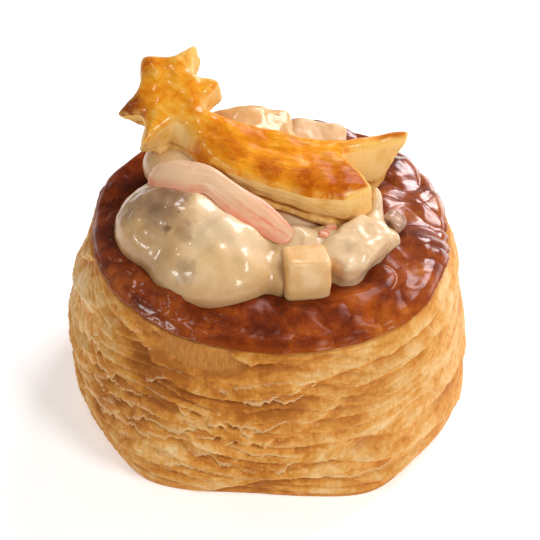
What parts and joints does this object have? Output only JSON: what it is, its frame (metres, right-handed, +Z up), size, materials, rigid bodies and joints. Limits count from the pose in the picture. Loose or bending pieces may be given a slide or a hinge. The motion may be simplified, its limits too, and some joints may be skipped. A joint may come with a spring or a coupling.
{
  "type": "vol au vent",
  "caption": "Round puff pastry case filled with a creamy ragout, with a pastry shooting star laid over it.",
  "frame": {"origin": "centre of the flat base of the pastry case", "axes": "+Z up through the case and its filling; -Y is the front, with the scoop of ragout; +X runs along the garnish's tail"},
  "size_m": [0.086, 0.0853, 0.0669],
  "materials": {
    "baked_pastry": "baked puff pastry, flaky and dry",
    "glazed_pastry": "pastry baked under egg glaze, glossy",
    "cream_sauce": "thick cream sauce, glossy",
    "surimi": "pale surimi with a pink edge, moist",
    "potato": "boiled potato, moist",
    "mushroom": "cooked mushroom, moist"
  },
  "bodies": {
    "root": {"pastry_case": "baked_pastry", "ragout": "cream_sauce", "surimi_strip": "surimi", "potato_cube": "potato", "chicken_piece_right": "cream_sauce", "mushroom_stub": "mushroom", "chicken_piece_back": "cream_sauce", "surimi_slice_back": "surimi", "shooting_star": "glazed_pastry"}
  },
  "joints": []
}
